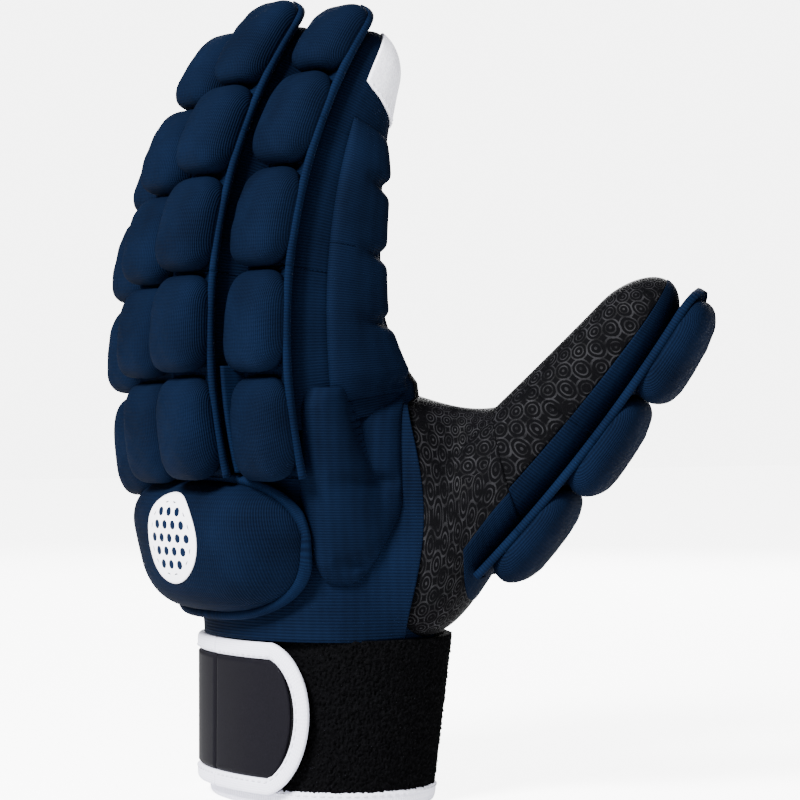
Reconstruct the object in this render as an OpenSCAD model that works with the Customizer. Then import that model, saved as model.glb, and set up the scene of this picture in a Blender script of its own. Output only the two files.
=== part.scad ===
// Padded stick-sport glove for the left hand, standing on its cuff with the fingers up.
// +Z runs to the fingertips, +X is the palm side, -Y is the index finger's side.
// The origin is the middle of the wrist opening, level with the lower edge of the hem.

/* [Wrist] */
// Depth of the cuff at the hem, back to palm
cuff_depth = 60; // [56:1:72]
// Breadth of the cuff at the hem, thumb side to little-finger side
cuff_breadth = 78; // [72:1:92]
// Growth of both sizes between the hem and the hand
cuff_flare = 6; // [4:1:12]
// How far the cuff's middle moves towards the palm between the hem and the hand
cuff_lean = 3.5; // [0:0.5:6]
// Height of the cuff from the floor to the hand
cuff_height = 50; // [42:1:60]
// Thickness of the pile fabric of the cuff
cuff_wall = 2.4; // [1.5:0.1:3.5]
// Height of the white hem binding
hem_height = 5; // [3:0.5:8]

/* [Hand] */
// Height of the hand between the cuff and the finger roots
palm_length = 81; // [72:1:94]
// Thickness of the hand and finger fabric
shell_wall = 2.2; // [1.5:0.1:3]
// Depth of the hand at its heel, back to palm
heel_depth = 74; // [66:1:80]

/* [Fingers] */
// Distance between two neighbouring fingers
finger_pitch = 23.5; // [22.5:0.5:28]
// Width of a finger sleeve at its root
finger_width = 21.2; // [18:0.1:21.4]
// Lengths of the three index finger links, root to tip
index_links = [60, 30, 23]; // [15:1:75]
// Lengths of the three middle finger links
middle_links = [58, 29, 30]; // [15:1:75]
// Lengths of the three ring finger links
ring_links = [55, 28, 27]; // [15:1:75]
// Lengths of the three little finger links
pinky_links = [27, 28, 24]; // [15:1:75]
// Curve built into each finger, in degrees for each millimetre
finger_curve = 0.36; // [0.2:0.02:0.42]

/* [Thumb] */
// Lengths of the three thumb links, root to tip
thumb_links = [37, 34, 33]; // [20:1:45]
// Width of the thumb sleeve at its root
thumb_width = 30; // [26:1:33]
// Angle of the thumb away from the fingers
thumb_spread = 44; // [36:1:50]
// Turn of the thumb about the vertical, out of the palm's own plane
thumb_turn = 50; // [45:1:55]

/* [Foam] */
// Height of a foam block above its sleeve
pad_height = 13; // [9:0.5:15]
// Space left between neighbouring foam blocks
pad_gap = 0.8; // [0.6:0.1:2]
// Thickness of the edge strip that each foam block stands on
flange_height = 1.8; // [1.2:0.1:2.6]
// Height of the large foam pad on the back of the hand
back_pad_height = 13; // [8:0.5:15]
// Thickness of the foam guard on the side of the index finger
guard_height = 5; // [3:0.5:7]

/* [Strap] */
// Width of the wrist strap
strap_width = 46; // [34:1:47]
// Thickness of the wrist strap
strap_height = 2.6; // [2:0.1:3.5]
// Width of the white strap binding
binding_width = 5; // [4:0.5:7]

/* [Motion] */
// Bend of each finger at the knuckle
knuckle_bend = 60; // [45:5:65]
// Bend at the middle finger joints
middle_bend = 70; // [50:5:75]
// Bend at the last finger joints
tip_bend = 40; // [25:5:45]
// Bend at the root of the thumb
thumb_root_bend = 8; // [5:1:10]
// Bend at the middle thumb joint
thumb_middle_bend = 20; // [10:5:25]
// Bend at the last thumb joint
thumb_tip_bend = 25; // [15:5:30]

/* [Hidden] */

navy = "#0f2140";
black = "#17171a";
white = "#eeeef8";
charcoal = "#2a2930";

// Space between a piece and the one it lies on
seat = 0.3;
// How far the hem stands proud of the cuff, inside and outside
hem_stand = 0.5;
// Half the space left between two pieces at a joint
joint_gap = 0.4;
// Spare angle cut into the palm side of each joint
spare_angle = 3;
// Share of a finger's depth at which its hinge lies, counted from the back
hinge_share = 0.62;
// How far down the cuff and the hand shell overlap the cuff's rim
root_level = cuff_height + palm_length;
// The hand's middle lies this far towards the little finger
hand_shift = 4;
// Roundness of sleeves and hand: 2 is an ellipse, more is squarer
sleeve_power = 2.4;
sleeve_sides = 20;
hand_power = 2.1;

// Name, place across the hand, drop of the root below the index root, place of the back
// surface, start lean, curve rate, links, root half depth, tip half depth, half widths
index_finger = [-1.5, 0, -38, -4, finger_curve, index_links, 19.5, 8.5, finger_width / 2];
middle_finger = [-0.5, 0, -49.5, -4, finger_curve, middle_links, 17, 8.5, finger_width / 2];
ring_finger = [0.5, -1.5, -47.5, -4, finger_curve, ring_links, 16, 8.5, finger_width / 2];
pinky_finger = [1.45, -6, -39, -4, finger_curve, pinky_links, 13.5, 8, finger_width / 2 - 1];
thumb_finger = [0, 0, 0, -thumb_spread, 0.12, thumb_links, 16.5, 9.5, thumb_width / 2];

// Where the back surface of the thumb starts, seen square to the thumb's own plane
thumb_across = 55;
thumb_level = cuff_height + 21;
thumb_before = 12;

// ---- smooth curves ----

function mix(a, b, t) = a + (b - a) * t;

function clamp01(t) = min(1, max(0, t));

function round_step(t) = let (u = clamp01(t)) u * u * (3 - 2 * u);

function signed_power(v, p) = sign(v) * pow(abs(v), p);

// One point of a squared ellipse
function oval(a, b, power, angle) =
    [a * signed_power(cos(angle), 2 / power), b * signed_power(sin(angle), 2 / power)];

function total(v) = v * [for (i = v) 1];

// ---- surfaces ----

// Two triangles for each side between ring i and ring j of n points
function band(n, i, j) = [
    for (k = [0:n - 1])
    each [[i * n + k, j * n + k, j * n + (k + 1) % n],
          [i * n + k, j * n + (k + 1) % n, i * n + (k + 1) % n]]
];

// A ring-shaped solid: the rings run up the outside and back down the inside
module open_tube(rings) {
    n = len(rings[0]);
    m = len(rings);
    polyhedron(
        points = [for (r = rings) each r],
        faces = [for (i = [0:m - 1]) each band(n, i, (i + 1) % m)]
    );
}

// A solid along a row of rings, closed at both ends at the points first and last
module closed_loft(rings, first, last) {
    n = len(rings[0]);
    m = len(rings);
    polyhedron(
        points = [for (r = rings) each r, first, last],
        faces = [
            for (i = [0:m - 2]) each band(n, i, i + 1),
            for (k = [0:n - 1]) [m * n, k, (k + 1) % n],
            for (k = [0:n - 1]) [m * n + 1, (m - 1) * n + (k + 1) % n, (m - 1) * n + k]
        ]
    );
}

// A curved sheet between two grids of points, closed along its four edges
module panel(outer, inner) {
    rows = len(outer);
    cols = len(outer[0]);
    all_outer = [for (r = outer) each r];
    all_inner = [for (r = inner) each r];
    half = rows * cols;
    polyhedron(
        points = concat(all_outer, all_inner),
        faces = [
            for (i = [0:rows - 2], j = [0:cols - 2])
            let (a = i * cols + j, b = a + cols)
            each [[a, b + 1, b], [a, a + 1, b + 1],
                  [half + a, half + b, half + b + 1], [half + a, half + b + 1, half + a + 1]],
            for (i = [0:rows - 2])
            let (a = i * cols, b = a + cols, c = a + cols - 1, d = b + cols - 1)
            each [[a, half + b, half + a], [a, b, half + b],
                  [c, half + d, d], [c, half + c, half + d]],
            for (j = [0:cols - 2])
            let (a = j, b = (rows - 1) * cols + j)
            each [[a, half + a + 1, a + 1], [a, half + a, half + a + 1],
                  [b, half + b + 1, half + b], [b, b + 1, half + b + 1]]
        ]
    );
}

// ---- fingers and thumb ----

// Each digit is drawn in its own plane. Its back surface follows an arc that starts at
// the origin, s is the distance along it and depth runs from it towards the palm.

function links(f) = f[5];

function reach(f) = total(links(f));

function joint_at(f, k) = k == 0 ? 0 : k == 1 ? links(f)[0] : links(f)[0] + links(f)[1];

function lean(f, s) = f[3] + f[4] * s;

function arc_radius(f) = 180 / PI / f[4];

function place(f, s, y, depth) = [
    arc_radius(f) * (cos(f[3]) - cos(lean(f, s))) + depth * cos(lean(f, s)),
    y,
    arc_radius(f) * (sin(lean(f, s)) - sin(f[3])) - depth * sin(lean(f, s))
];

function half_depth(f, s) = mix(f[6], f[7], pow(clamp01(s / reach(f)), 1.6));

function half_width(f, s) = f[8] * mix(1, 0.92, clamp01(s / reach(f)));

function hinge_depth(f, s) = 2 * hinge_share * half_depth(f, s);

// How far a sleeve's end stands back from its joint at one depth
function relief(f, at, depth, bend) =
    (joint_gap + max(0, depth - hinge_depth(f, at)) * tan(bend / 2 + spare_angle))
    / (1 - depth / arc_radius(f));

// A point on a sleeve between two joints: v is 0 at the lower and 1 at the upper joint
function sleeve_point(f, low, high, low_bend, high_bend, v, angle, out) =
    let (
        middle = mix(low, high, v),
        o = oval(half_depth(f, middle) + out, half_width(f, middle) + out, sleeve_power, angle),
        depth = half_depth(f, middle) - o[0],
        s = mix(low + relief(f, low, depth, low_bend), high - relief(f, high, depth, high_bend), v)
    )
    place(f, s, o[1], depth);

function sleeve_ring(f, low, high, low_bend, high_bend, v, out) = [
    for (k = [0:sleeve_sides - 1])
    sleeve_point(f, low, high, low_bend, high_bend, v, -k * 360 / sleeve_sides, out)
];

// An open sleeve between two joints
module sleeve(f, k, low_bend, high_bend) {
    low = joint_at(f, k);
    high = joint_at(f, k + 1);
    open_tube([
        for (v = [0, 0.5, 1]) sleeve_ring(f, low, high, low_bend, high_bend, v, 0),
        for (v = [1, 0.5, 0]) sleeve_ring(f, low, high, low_bend, high_bend, v, -shell_wall)
    ]);
}

// One ring of the rounded fingertip, q degrees up its dome
function tip_ring(f, low, bend, q, out) = let (dome = 1.15 * half_width(f, reach(f))) [
    for (k = [0:sleeve_sides - 1])
    let (
        base = reach(f) - dome,
        s0 = base + (dome + out) * sin(q),
        o = oval((half_depth(f, s0) + out) * cos(q), (half_width(f, s0) + out) * cos(q),
                 sleeve_power, -k * 360 / sleeve_sides),
        depth = half_depth(f, s0) - o[0]
    )
    place(f, s0, o[1], depth)
];

function tip_point(f, out) = place(f, reach(f) + out, 0, half_depth(f, reach(f)));

// The closed sleeve of a fingertip
module tip_sleeve(f, low_bend) {
    low = joint_at(f, 2);
    dome_foot = reach(f) - 1.15 * half_width(f, reach(f));
    ups = [0, 35, 65];
    closed_loft([
        for (i = [2:-1:0]) tip_ring(f, low, low_bend, ups[i], -shell_wall),
        for (k = [0:1]) let (out = k == 0 ? -shell_wall : 0)
        sleeve_root_ring(f, low, dome_foot, low_bend, out),
        for (i = [0:2]) tip_ring(f, low, low_bend, ups[i], 0)
    ], tip_point(f, -shell_wall), tip_point(f, 0));
}

function sleeve_root_ring(f, low, high, low_bend, out) = [
    for (k = [0:sleeve_sides - 1])
    sleeve_point(f, low, high, low_bend, 0, 0, -k * 360 / sleeve_sides, out)
];

// A foam block from s = low to s = high: a thin edge strip, a neck and a leaning dome
module pad(f, low, high, height = pad_height, wide = 0) {
    sides = 20;
    middle = (low + high) / 2;
    half_l = (high - low - pad_gap) / 2;
    half_w = half_width(f, middle) + 0.4 + wide;
    rise = height - flange_height;
    // Height of each ring, how far it stands in from the edge, and how far it leans back
    steps = [
        [0, 0, 0], [flange_height, 0, 0], [flange_height + 0.4, 1.8, 0],
        [flange_height + 0.3 * rise, 0.7, 0.5], [flange_height + 0.62 * rise, 1.6, 1.2],
        [flange_height + 0.86 * rise, 4.2, 1.8], [flange_height + 0.97 * rise, 7.2, 2]
    ];
    closed_loft([
        for (t = steps) [
            for (k = [0:sides - 1])
            let (o = oval(half_l - t[1], half_w - t[1], 3.6, k * 360 / sides))
            place(f, middle + o[0] - (t[0] > flange_height ? t[2] * (o[0] > 0 ? 1 : 0.3) : 0), o[1],
                  -seat - t[0])
        ]
    ], place(f, middle, 0, -seat), place(f, middle - 2, 0, -seat - height));
}

// Moves a digit from its own plane to the hand
module on_hand(f) {
    translate([f[2], f[0] * finger_pitch + hand_shift, root_level + f[1]]) children();
}

module on_thumb() {
    rotate([0, 0, -thumb_turn])
        translate([thumb_across, -thumb_before, thumb_level])
            rotate([0, 0, 180]) children();
}

// ---- hand and cuff ----

// Middle and half depth of the hand at a height above the cuff, as shares of its length
function hand_back_x(t) = -mix(heel_depth / 2 - 3, heel_depth / 2 + 1, round_step(t / 0.7));

function hand_palm_x(t) =
    heel_depth / 2 * mix(0.95, 1, round_step(t / 0.2)) - 42 * round_step((t - 0.1) / 0.9);

function hand_half_breadth(t) =
    mix((cuff_breadth + cuff_flare) / 2 - 1.5, 1.5 * finger_pitch + finger_width / 2 + 1, round_step(t / 0.5));

function hand_point(angle, z, out) =
    let (
        t = (z - cuff_height) / palm_length,
        half_x = (hand_palm_x(t) - hand_back_x(t)) / 2 + out,
        o = oval(half_x, hand_half_breadth(t) + out, hand_power, angle)
    )
    [(hand_palm_x(t) + hand_back_x(t)) / 2 + o[0], hand_shift * round_step(t / 0.3) + o[1], z];

// Where the back of the hand lies at a place across it, level out towards its edges
function hand_back_at(y, z) =
    let (
        t = (z - cuff_height) / palm_length,
        half_x = (hand_palm_x(t) - hand_back_x(t)) / 2,
        across = min(0.86, abs(y) / hand_half_breadth(t))
    )
    hand_back_x(t) + half_x * (1 - pow(1 - pow(across, hand_power), 1 / hand_power));

// Height of the hand shell's upper edge at one angle, lower on the palm side of the knuckles
function hand_top(angle) =
    let (
        flat = root_level - 7,
        x = hand_point(angle, flat, 0)[0],
        hinge = middle_finger[2] + hinge_depth(middle_finger, 0)
    )
    flat - max(0, x - hinge) * tan(knuckle_bend / 2 + spare_angle);

// A part of the hand's skin between two angles and two shares of its height
module hand_skin(from, to, low, high, columns, rows) {
    function at(i, j, out) =
        let (
            angle = mix(from, to, i / columns),
            top = min(high, hand_top(angle)),
            z = mix(low, top, j / rows)
        )
        hand_point(angle, z, out);
    panel(
        [for (i = [0:columns]) [for (j = [0:rows]) at(i, j, 0)]],
        [for (i = [0:columns]) [for (j = [0:rows]) at(i, j, -shell_wall)]]
    );
}

cuff_half_depth = cuff_depth / 2;
cuff_half_breadth = cuff_breadth / 2;

function cuff_point(angle, z, out) =
    let (
        grow = cuff_flare / 2 * clamp01(z / cuff_height),
        o = oval(cuff_half_depth + grow + out, cuff_half_breadth + grow + out, 2.2, angle)
    )
    [cuff_lean * clamp01(z / cuff_height) + o[0], o[1], z];

module wrist_cuff() {
    sides = 44;
    // A neck that goes up inside the hand shell
    neck = 6;
    levels = [hem_height, cuff_height * 0.5, cuff_height - 0.4];
    color(black)
        open_tube([
            for (z = levels) [for (k = [0:sides - 1]) cuff_point(k * 360 / sides, z, 0)],
            [for (k = [0:sides - 1]) cuff_point(k * 360 / sides, cuff_height - 0.4, -cuff_wall - 3.2)],
            [for (k = [0:sides - 1]) cuff_point(k * 360 / sides, cuff_height + neck, -cuff_wall - 3.2)],
            [for (k = [0:sides - 1]) cuff_point(k * 360 / sides, cuff_height + neck, -2 * cuff_wall - 3.2)],
            [for (k = [0:sides - 1]) cuff_point(k * 360 / sides, cuff_height * 0.5, -2 * cuff_wall)],
            [for (k = [0:sides - 1]) cuff_point(k * 360 / sides, hem_height, -cuff_wall)]
        ]);
}

module cuff_hem() {
    sides = 44;
    function hem_outline(out) = [
        for (k = [0:sides - 1])
        let (p = cuff_point(k * 360 / sides, 0, out)) [p[0], p[1]]
    ];
    color(white)
        linear_extrude(hem_height)
            difference() {
                polygon(hem_outline(hem_stand));
                polygon(hem_outline(-cuff_wall - hem_stand));
            }
}

module hand_back_shell() {
    color(navy) hand_skin(96, 300, cuff_height, root_level, 26, 5);
}

module palm_shell() {
    color(black) hand_skin(-9, 95, cuff_height, root_level, 14, 5);
}

module thumb_heel_panel() {
    color(black) hand_skin(-59, -10, cuff_height, cuff_height + 20, 7, 2);
}

module thumb_web_panel() {
    color(black) hand_skin(-59, -10, cuff_height + 52, root_level, 7, 1);
}

// Foam guard on the thumb side of the hand, with shallow bumps along it
module hand_side_guard() {
    low = cuff_height + 20;
    high = root_level - 8;
    columns = 6;
    rows = 12;
    function guard_at(i, j, out) =
        let (
            taper = sin(180 * mix(0.12, 0.62, j / rows)),
            angle = 280 + mix(-19, 17, i / columns) * taper,
            z = mix(low, min(high, hand_top(angle) - 1), j / rows)
        )
        hand_point(angle, z, out * (0.55 + 0.45 * abs(sin(360 * j / rows))) + seat);
    color(navy)
        panel(
            [for (i = [0:columns]) [for (j = [0:rows]) guard_at(i, j, guard_height)]],
            [for (i = [0:columns]) [for (j = [0:rows]) guard_at(i, j, 0)]]
        );
}

// Large foam pad on the back of the hand, bent to the arch of the knuckles
module back_pad() {
    sides = 40;
    half_l = 20;
    half_w = 1.5 * finger_pitch + finger_width / 2 - 0.5;
    middle = root_level - 34.5 - half_l;
    rise = back_pad_height - flange_height;
    steps = [
        [0, 0], [flange_height, 0], [flange_height + 0.4, 2.2],
        [flange_height + 0.3 * rise, 1], [flange_height + 0.62 * rise, 2.4],
        [flange_height + 0.88 * rise, 6], [back_pad_height - 0.3, 10], [back_pad_height, 16]
    ];
    function narrow(v) = mix(0.8, 1, clamp01((v + half_l) / half_l / 1.2));
    function on_arch(y, z, height) =
        let (edge = abs(y) / half_w)
        [hand_back_at(y, z) - 4 - 3.5 * edge * edge - height, y + hand_shift, z];
    color(navy)
        closed_loft([
            for (t = steps) [
                for (k = [0:sides - 1])
                let (o = oval(half_l - t[1], half_w - t[1], 3.2, k * 360 / sides))
                on_arch(o[1] * narrow(o[0]), middle + o[0], t[0])
            ]
        ], on_arch(0, middle, 0), on_arch(0, middle, back_pad_height));
}

module knuckle_pad(f) {
    color(navy) on_hand(f) pad(f, -31, -joint_gap);
}

// ---- digits ----

module finger_sleeve(f, k) {
    color(navy)
        on_hand(f) {
            if (k == 0) sleeve(f, 0, knuckle_bend, middle_bend);
            if (k == 1) sleeve(f, 1, middle_bend, tip_bend);
            if (k == 2) tip_sleeve(f, tip_bend);
        }
}

// Foam block number k of a finger, counted from the knuckle; the first link carries
// two blocks on a long finger and one on the little finger
module finger_pad(f, k) {
    half_link = joint_at(f, 1) / 2;
    short = joint_at(f, 1) < 40;
    row = short && k > 1 ? k + 1 : k;
    low = row == 1 ? 0 : row == 2 ? half_link : joint_at(f, row - 2);
    high = row == 1 ? (short ? joint_at(f, 1) : half_link) : row == 2 ? joint_at(f, 1) :
        row == 3 ? joint_at(f, 2) : reach(f) + 1;
    height = row == 4 ? pad_height - 1.5 : pad_height;
    color(navy) on_hand(f) pad(f, low, high, height);
}

// Foam guard along the thumb side of the index finger
module finger_guard(k) {
    f = index_finger;
    low = joint_at(f, k);
    high = k == 2 ? reach(f) - 9.6 : joint_at(f, k + 1);
    low_bend = k == 0 ? knuckle_bend : k == 1 ? middle_bend : tip_bend;
    high_bend = k == 0 ? middle_bend : k == 1 ? tip_bend : 0;
    columns = 6;
    rows = k == 0 ? 10 : 6;
    function guard_at(i, j, out) =
        let (
            angle = -mix(128, 60, i / columns),
            lump = 0.6 + 0.4 * abs(sin((k == 0 ? 360 : 180) * j / rows)),
            point = sleeve_point(f, low, high, low_bend, high_bend, j / rows, angle, out * lump + seat)
        )
        point;
    color(navy)
        on_hand(f)
            panel(
                [for (i = [0:columns]) [for (j = [0:rows]) guard_at(i, j, 0)]],
                [for (i = [0:columns]) [for (j = [0:rows]) guard_at(i, j, guard_height)]]
            );
}

// White patch over the palm side of the index fingertip
module index_tip_patch() {
    f = index_finger;
    dome = 1.15 * half_width(f, reach(f));
    columns = 8;
    rows = 3;
    function patch_at(i, j, out) =
        let (
            q = mix(12, 70, j / rows),
            s = reach(f) - dome + (dome + out) * sin(q),
            o = oval((half_depth(f, s) + out) * cos(q), (half_width(f, s) + out) * cos(q),
                     sleeve_power, mix(260, 100, i / columns))
        )
        place(f, s, o[1], half_depth(f, s) - o[0]);
    color(white)
        on_hand(f)
            panel(
                [for (i = [0:columns]) [for (j = [0:rows]) patch_at(i, j, 1.4)]],
                [for (i = [0:columns]) [for (j = [0:rows]) patch_at(i, j, seat)]]
            );
}

module thumb_sleeve(k) {
    f = thumb_finger;
    color(black)
        on_thumb() {
            if (k == 0) sleeve(f, 0, 2 * thumb_root_bend, thumb_middle_bend);
            if (k == 1) sleeve(f, 1, thumb_middle_bend, thumb_tip_bend);
            if (k == 2) tip_sleeve(f, thumb_tip_bend);
        }
}

module thumb_pad(k) {
    f = thumb_finger;
    high = k == 3 ? reach(f) + 1 : joint_at(f, k);
    color(navy) on_thumb() pad(f, joint_at(f, k - 1) + (k == 1 ? 3 : 0), high, pad_height - 1);
}

// ---- strap ----

strap_low = hem_height - 3;
strap_high = strap_low + strap_width;
// Angles round the cuff: the sewn end, the two folds, and the free end
sewn_from = 78;
band_from = 100;
tab_from = 172;
tab_to = 222;
fold_gap = 1;
strap_columns = 12;
// Where the strap's inner and outer faces lie above the cuff
strap_seat = hem_stand + seat;
strap_face = strap_seat + strap_height;
layer_gap = 0.25;
binding_height = 1;
badge_height = 0.8;
hook_height = 0.9;

// A point above the cuff's surface, standing out from it level
function strap_place(angle, z, out) =
    cuff_point(angle, z, 0) + (cuff_point(angle, 0, out) - cuff_point(angle, 0, 0));

// How far round the half-round end a point stands back, in degrees, for v from -1 to 1
function end_back(v) = 24 * (1 - sqrt(1 - 0.96 * v * v));

// A piece of the strap between two angles, from one height above the cuff to another.
// inset is how far it stands in from the strap's long edges, and round_end its free end.
module strap_piece(from, to, low_out, high_out, inset, round_end) {
    rows = 6;
    middle = (strap_low + strap_high) / 2;
    half = (strap_high - strap_low) / 2 - inset;
    function strap_at(i, j, out) =
        let (
            v = 2 * j / rows - 1,
            end = round_end ? to - end_back(v) : to
        )
        strap_place(mix(from, end, i / strap_columns), middle + half * v, out);
    panel(
        [for (i = [0:strap_columns]) [for (j = [0:rows]) strap_at(i, j, high_out)]],
        [for (i = [0:strap_columns]) [for (j = [0:rows]) strap_at(i, j, low_out)]]
    );
}

// The white binding along the lower edge, round the free end and back along the upper edge
module strap_rim(from, to, low_out, high_out) {
    columns = 30;
    middle = (strap_low + strap_high) / 2;
    half = (strap_high - strap_low) / 2;
    turn = binding_width / (cuff_half_breadth + 2) * 180 / PI;
    function rim_at(i, inset, out) =
        let (
            u = i / columns,
            last = to - (inset > 0 ? turn : 0),
            v = u < 0.3 ? -1 : u > 0.7 ? 1 : -cos(180 * (u - 0.3) / 0.4),
            run = u < 0.3 ? u / 0.3 : u > 0.7 ? (1 - u) / 0.3 : 1
        )
        strap_place(mix(from, last - end_back(v), run), middle + (half - inset) * v, out);
    panel(
        [for (i = [0:columns]) [rim_at(i, 0, high_out), rim_at(i, binding_width, high_out)]],
        [for (i = [0:columns]) [rim_at(i, 0, low_out), rim_at(i, binding_width, low_out)]]
    );
}

module strap_anchor() {
    color(black) strap_piece(sewn_from, band_from - fold_gap, strap_seat, strap_face, 0, false);
}

module strap_band() {
    color(black) strap_piece(band_from, tab_from - fold_gap, strap_seat, strap_face, 0, false);
}

module strap_tab() {
    color(black)
        strap_piece(tab_from, tab_to, strap_seat + hook_height + layer_gap, strap_face, 0, true);
}

module strap_band_binding() {
    middle = (strap_low + strap_high) / 2;
    half = (strap_high - strap_low) / 2;
    function edge_at(i, z, out) = strap_place(mix(band_from, tab_from - fold_gap, i / strap_columns), z, out);
    color(white)
        for (lower = [middle - half, middle + half - binding_width])
            panel(
                [for (i = [0:strap_columns]) [for (j = [0, 1])
                    edge_at(i, lower + j * binding_width, strap_face + layer_gap + binding_height)]],
                [for (i = [0:strap_columns]) [for (j = [0, 1])
                    edge_at(i, lower + j * binding_width, strap_face + layer_gap)]]
            );
}

module strap_tab_binding() {
    color(white)
        strap_rim(tab_from, tab_to, strap_face + layer_gap, strap_face + layer_gap + binding_height);
}

module strap_band_badge() {
    color(charcoal)
        strap_piece(band_from + 20, tab_from - fold_gap, strap_face + layer_gap,
                    strap_face + layer_gap + badge_height, binding_width + 0.3, false);
}

module strap_tab_badge() {
    color(charcoal)
        strap_piece(tab_from, tab_to - 9, strap_face + layer_gap,
                    strap_face + layer_gap + badge_height, binding_width + 0.3, true);
}

// Hook fastener under the strap's free end
module strap_hook() {
    color(black) strap_piece(tab_from + 6, tab_to - 6, strap_seat, strap_seat + hook_height, 4, true);
}

wrist_cuff();
cuff_hem();
strap_anchor();
hand_back_shell();
palm_shell();
thumb_heel_panel();
thumb_web_panel();
hand_side_guard();
back_pad();
knuckle_pad(index_finger);  // index_knuckle_pad
knuckle_pad(middle_finger);  // middle_knuckle_pad
knuckle_pad(ring_finger);  // ring_knuckle_pad
knuckle_pad(pinky_finger);  // pinky_knuckle_pad
finger_sleeve(index_finger, 0);  // index_sleeve_1
finger_sleeve(index_finger, 1);  // index_sleeve_2
finger_sleeve(index_finger, 2);  // index_sleeve_3
finger_pad(index_finger, 1);  // index_pad_1
finger_pad(index_finger, 2);  // index_pad_2
finger_pad(index_finger, 3);  // index_pad_3
finger_pad(index_finger, 4);  // index_pad_4
finger_guard(0);  // index_guard_1
finger_guard(1);  // index_guard_2
finger_guard(2);  // index_guard_3
index_tip_patch();
finger_sleeve(middle_finger, 0);  // middle_sleeve_1
finger_sleeve(middle_finger, 1);  // middle_sleeve_2
finger_sleeve(middle_finger, 2);  // middle_sleeve_3
finger_pad(middle_finger, 1);  // middle_pad_1
finger_pad(middle_finger, 2);  // middle_pad_2
finger_pad(middle_finger, 3);  // middle_pad_3
finger_pad(middle_finger, 4);  // middle_pad_4
finger_sleeve(ring_finger, 0);  // ring_sleeve_1
finger_sleeve(ring_finger, 1);  // ring_sleeve_2
finger_sleeve(ring_finger, 2);  // ring_sleeve_3
finger_pad(ring_finger, 1);  // ring_pad_1
finger_pad(ring_finger, 2);  // ring_pad_2
finger_pad(ring_finger, 3);  // ring_pad_3
finger_pad(ring_finger, 4);  // ring_pad_4
finger_sleeve(pinky_finger, 0);  // pinky_sleeve_1
finger_sleeve(pinky_finger, 1);  // pinky_sleeve_2
finger_sleeve(pinky_finger, 2);  // pinky_sleeve_3
finger_pad(pinky_finger, 1);  // pinky_pad_1
finger_pad(pinky_finger, 2);  // pinky_pad_2
finger_pad(pinky_finger, 3);  // pinky_pad_3
thumb_sleeve(0);  // thumb_sleeve_1
thumb_sleeve(1);  // thumb_sleeve_2
thumb_sleeve(2);  // thumb_sleeve_3
thumb_pad(1);  // thumb_pad_1
thumb_pad(2);  // thumb_pad_2
thumb_pad(3);  // thumb_pad_3
strap_band();
strap_band_binding();
strap_band_badge();
strap_tab();
strap_tab_binding();
strap_tab_badge();
strap_hook();
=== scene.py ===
import math

import bmesh
import bpy
import numpy as np
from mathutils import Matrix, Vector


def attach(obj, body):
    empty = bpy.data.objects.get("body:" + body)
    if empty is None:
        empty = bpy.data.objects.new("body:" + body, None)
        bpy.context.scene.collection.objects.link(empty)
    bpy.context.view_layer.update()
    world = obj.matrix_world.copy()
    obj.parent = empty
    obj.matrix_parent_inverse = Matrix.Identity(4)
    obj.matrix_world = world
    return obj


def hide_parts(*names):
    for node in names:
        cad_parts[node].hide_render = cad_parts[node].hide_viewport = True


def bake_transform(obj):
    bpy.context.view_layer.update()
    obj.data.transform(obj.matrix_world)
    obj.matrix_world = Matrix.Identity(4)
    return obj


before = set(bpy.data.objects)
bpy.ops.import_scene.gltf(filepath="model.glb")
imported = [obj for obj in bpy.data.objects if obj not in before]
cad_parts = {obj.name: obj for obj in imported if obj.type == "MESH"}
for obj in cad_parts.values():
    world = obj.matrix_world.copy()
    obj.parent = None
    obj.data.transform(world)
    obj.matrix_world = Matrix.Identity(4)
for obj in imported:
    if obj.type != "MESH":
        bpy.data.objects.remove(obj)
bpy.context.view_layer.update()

# ---- Camera, floor and light ----
# A long lens looks level at the index finger's side of the glove, the back of the
# hand towards the left. The glove stands on a pale floor in soft, even light.

MM = 0.001
view_turn = math.radians(-35)
view_right = np.array([math.cos(view_turn), math.sin(view_turn), 0])
view_ahead = np.array([-math.sin(view_turn), math.cos(view_turn), 0])
view_distance = 830
view_centre = view_right * 24.5 + np.array([0, 0, 122.5])

camera_data = bpy.data.cameras.new("camera")
camera_data.lens = 120
camera_data.sensor_width = 36
camera_data.clip_start = 0.05
camera = bpy.data.objects.new("camera", camera_data)
camera.location = (view_centre - view_ahead * view_distance) * MM
camera.rotation_euler = (math.radians(90), 0, view_turn)
bpy.context.scene.collection.objects.link(camera)
bpy.context.scene.camera = camera

floor_half = 3.0
floor_mesh = bpy.data.meshes.new("floor")
floor_corners = [(x * floor_half, y * floor_half, 0) for x, y in ((-1, -1), (1, -1), (1, 1), (-1, 1))]
floor_mesh.from_pydata(floor_corners, [], [(0, 1, 2, 3)])
floor = bpy.data.objects.new("floor", floor_mesh)
bpy.context.scene.collection.objects.link(floor)
floor_material = bpy.data.materials.new("pale_floor")
floor_material.use_nodes = True
floor_shader = floor_material.node_tree.nodes["Principled BSDF"]
floor_shader.inputs["Base Color"].default_value = (0.9, 0.9, 0.9, 1)
floor_shader.inputs["Roughness"].default_value = 0.9
floor_shader.inputs["Emission Color"].default_value = (1, 1, 1, 1)
floor_sight = floor_material.node_tree.nodes.new("ShaderNodeLightPath")
floor_strength = floor_material.node_tree.nodes.new("ShaderNodeMapRange")
floor_strength.inputs["To Min"].default_value = 0.3
floor_strength.inputs["To Max"].default_value = 6.0
floor_material.node_tree.links.new(floor_sight.outputs["Is Camera Ray"], floor_strength.inputs["Value"])
floor_material.node_tree.links.new(floor_strength.outputs["Result"], floor_shader.inputs["Emission Strength"])
floor_mesh.materials.append(floor_material)

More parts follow.
